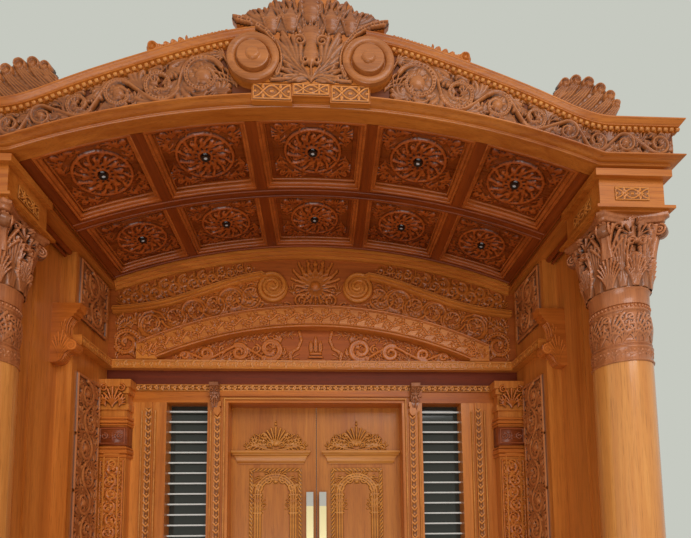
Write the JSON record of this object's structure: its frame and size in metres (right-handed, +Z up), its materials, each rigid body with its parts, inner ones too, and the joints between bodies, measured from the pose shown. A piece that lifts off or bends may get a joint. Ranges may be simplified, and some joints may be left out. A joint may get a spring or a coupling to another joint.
{
  "type": "carved timber entrance porch",
  "caption": "Carved timber entrance portal: columns carry an arched, scrolled front and a coffered vault, with hinged doors and barred sidelights at the back.",
  "frame": {"origin": "on the floor under the middle of the whole portal", "axes": "+X to the viewer's right, +Y from the porch front to the doors, +Z up"},
  "size_m": [3.23, 1.358, 3.885],
  "materials": {
    "teak": "gloss varnish, golden brown",
    "vault_teak": "gloss varnish, red brown",
    "door_teak": "gloss varnish, honey brown",
    "dark_glass": "dark clear",
    "white_paint": "gloss",
    "pull_metal": "satin, upper end silver and the rest pale gold",
    "hinge_brass": "satin",
    "lamp_rim": "gloss black",
    "lamp_lens": "clear"
  },
  "bodies": {
    "portal": {"column_bases": "teak", "left_column_shaft": "teak", "right_column_shaft": "teak", "column_collars": "teak", "left_capital": "teak", "right_capital": "teak", "left_impost_block": "teak", "right_impost_block": "teak", "impost_ornaments": "teak", "corner_blocks": "teak", "arch_architrave": "teak", "arch_frieze": "teak", "right_frieze_carving": "teak", "left_frieze_carving": "teak", "left_arch_cornice": "teak", "right_arch_cornice": "teak", "crest_board": "teak", "crest_carving": "teak", "crest_volutes": "teak", "left_fan": "teak", "right_fan": "teak", "edge_beams": "teak", "left_side_panel": "teak", "right_side_panel": "teak", "left_pier": "teak", "right_pier": "teak", "pier_carvings": "teak", "consoles": "teak", "lunette_board": "teak", "lunette_cornice": "teak", "swan_scrolls": "teak", "lunette_carving": "teak", "arch_band": "teak", "tympanum_carving": "teak", "lintel_shelf": "teak", "lintel_beam": "teak", "door_header": "teak", "mullions": "teak", "outer_jambs": "teak", "pilasters": "teak", "sidelight_aprons": "teak", "threshold": "teak", "vault_roof": "vault_teak", "vault_cross_ribs": "vault_teak", "vault_long_ribs": "vault_teak", "coffer_rosettes": "vault_teak", "sidelight_glass": "dark_glass", "sidelight_bars": "white_paint", "frame_hinges": "hinge_brass", "lamp_rims": "lamp_rim", "lamp_lenses": "lamp_lens"},
    "left_door": {"left_leaf": "door_teak", "left_leaf_carving": "door_teak", "left_pull": "pull_metal", "left_leaf_hinges": "hinge_brass"},
    "right_door": {"right_leaf": "door_teak", "right_leaf_carving": "door_teak", "right_pull": "pull_metal", "right_leaf_hinges": "hinge_brass"}
  },
  "joints": [
    {"name": "left_door_hinge", "type": "hinge", "parent": "portal", "child": "left_door", "pos_m": [-0.554, 0.673, 0], "axis": [0, 0, 1], "range_deg": [0, 95]},
    {"name": "right_door_hinge", "type": "hinge", "parent": "portal", "child": "right_door", "pos_m": [0.554, 0.673, 0], "axis": [0, 0, -1], "range_deg": [0, 95]}
  ]
}
